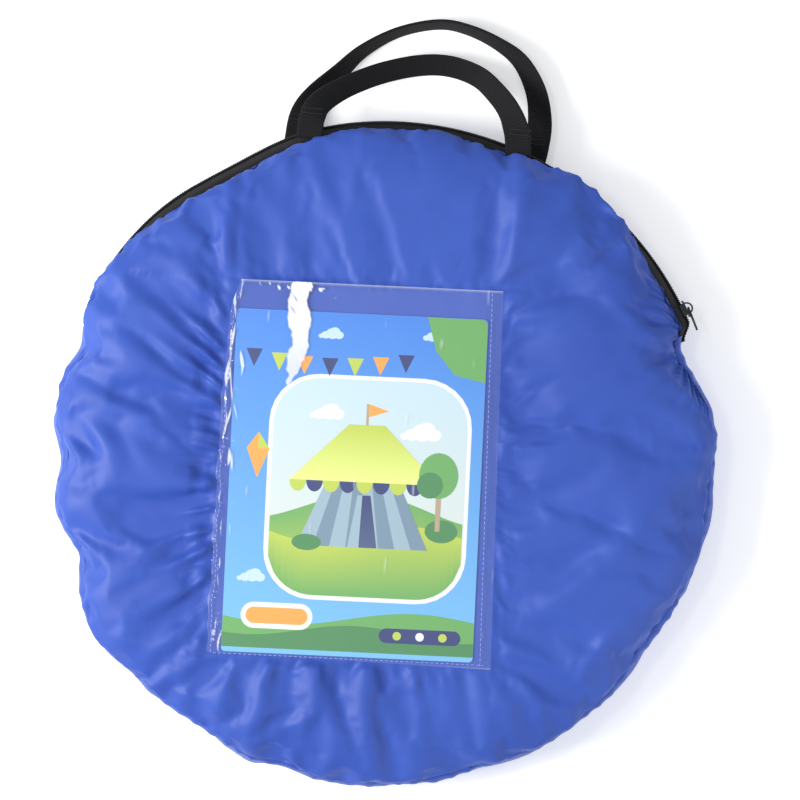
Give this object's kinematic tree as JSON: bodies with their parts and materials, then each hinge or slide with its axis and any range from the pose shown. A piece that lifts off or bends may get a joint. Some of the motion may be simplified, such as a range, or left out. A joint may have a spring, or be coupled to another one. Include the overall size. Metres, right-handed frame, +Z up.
{
  "type": "packed play tent",
  "caption": "Child's hoop tent folded flat in a round zipped nylon carry bag with webbing handles, a flap and a clear card pocket.",
  "frame": {"origin": "centre of the bag's round outline, on the plane that its back lies on", "axes": "+Z up out of the front panel, +Y towards the mouth and the handles, +X to the right seen from above"},
  "size_m": [0.4086, 0.4748, 0.0515],
  "materials": {
    "blue_nylon": "thin woven nylon, slight sheen",
    "black_tape": "woven zip tape",
    "black_coil": "nylon coil",
    "black_webbing": "ribbed polypropylene webbing",
    "black_metal": "semi-gloss enamel",
    "clear_film": "clear flexible film",
    "printed_card": "printed coated card",
    "spring_steel": "drawn wire",
    "wall_cloth": "printed polyester",
    "roof_cloth": "polyester",
    "fibreglass": "drawn rod"
  },
  "bodies": {
    "bag": {"back_panel": "blue_nylon", "front_panel": "blue_nylon", "side_gusset": "blue_nylon", "front_zip_tape_right": "black_tape", "front_zip_tape_left": "black_tape", "rear_zip_tape": "black_tape", "front_zip_coil_right": "black_coil", "front_zip_coil_left": "black_coil", "rear_zip_coil": "black_coil", "card_pocket": "clear_film", "base_hoop": "spring_steel", "eaves_hoop": "spring_steel", "base_hoop_ferrule": "spring_steel", "eaves_hoop_ferrule": "spring_steel", "folded_wall": "wall_cloth", "folded_roof": "roof_cloth", "pole_1_rod_1": "fibreglass", "pole_1_rod_2": "fibreglass", "pole_1_rod_3": "fibreglass", "pole_1_rod_4": "fibreglass", "pole_1_rod_5": "fibreglass", "pole_2_rod_1": "fibreglass", "pole_2_rod_2": "fibreglass", "pole_2_rod_3": "fibreglass", "pole_2_rod_4": "fibreglass", "pole_2_rod_5": "fibreglass", "pole_3_rod_1": "fibreglass", "pole_3_rod_2": "fibreglass", "pole_3_rod_3": "fibreglass", "pole_3_rod_4": "fibreglass", "pole_3_rod_5": "fibreglass", "pole_4_rod_1": "fibreglass", "pole_4_rod_2": "fibreglass", "pole_4_rod_3": "fibreglass", "pole_4_rod_4": "fibreglass", "pole_4_rod_5": "fibreglass"},
    "slider": {"zip_slider": "black_metal"},
    "pull_tab": {"pull_tab": "black_metal"},
    "flap": {"front_flap": "blue_nylon", "front_zip_tape_flap": "black_tape", "front_zip_coil_flap": "black_coil"},
    "front_handle": {"front_handle": "black_webbing"},
    "rear_handle": {"rear_handle": "black_webbing"},
    "insert_card": {"insert_card": "printed_card"}
  },
  "joints": [
    {"name": "zip_slide", "type": "hinge", "parent": "bag", "child": "slider", "pos_m": [0, 0, 0.025], "axis": [0, 0, 1], "range_deg": [0, 122.8]},
    {"name": "pull_tab_swing", "type": "hinge", "parent": "slider", "child": "pull_tab", "pos_m": [0.18832, 0.09063, 0.025], "axis": [0, 0, 1], "range_deg": [0, 165]},
    {"name": "flap_fold", "type": "hinge", "parent": "bag", "child": "flap", "pos_m": [0.01234, 0.11743, 0.05], "axis": [0.9945, -0.1045, 0], "range_deg": [0, 110]},
    {"name": "front_handle_swing", "type": "hinge", "parent": "flap", "child": "front_handle", "pos_m": [0.02011, 0.19131, 0.03675], "axis": [0.9945, -0.1045, 0], "range_deg": [0, 115]},
    {"name": "rear_handle_swing", "type": "hinge", "parent": "bag", "child": "rear_handle", "pos_m": [0.01978, 0.18824, 0.013], "axis": [0.9945, -0.1045, 0], "range_deg": [-115, 0]},
    {"name": "card_slide", "type": "slide", "parent": "bag", "child": "insert_card", "axis": [-0.0471, -0.9989, 0], "range_m": [-0.225, 0]}
  ]
}
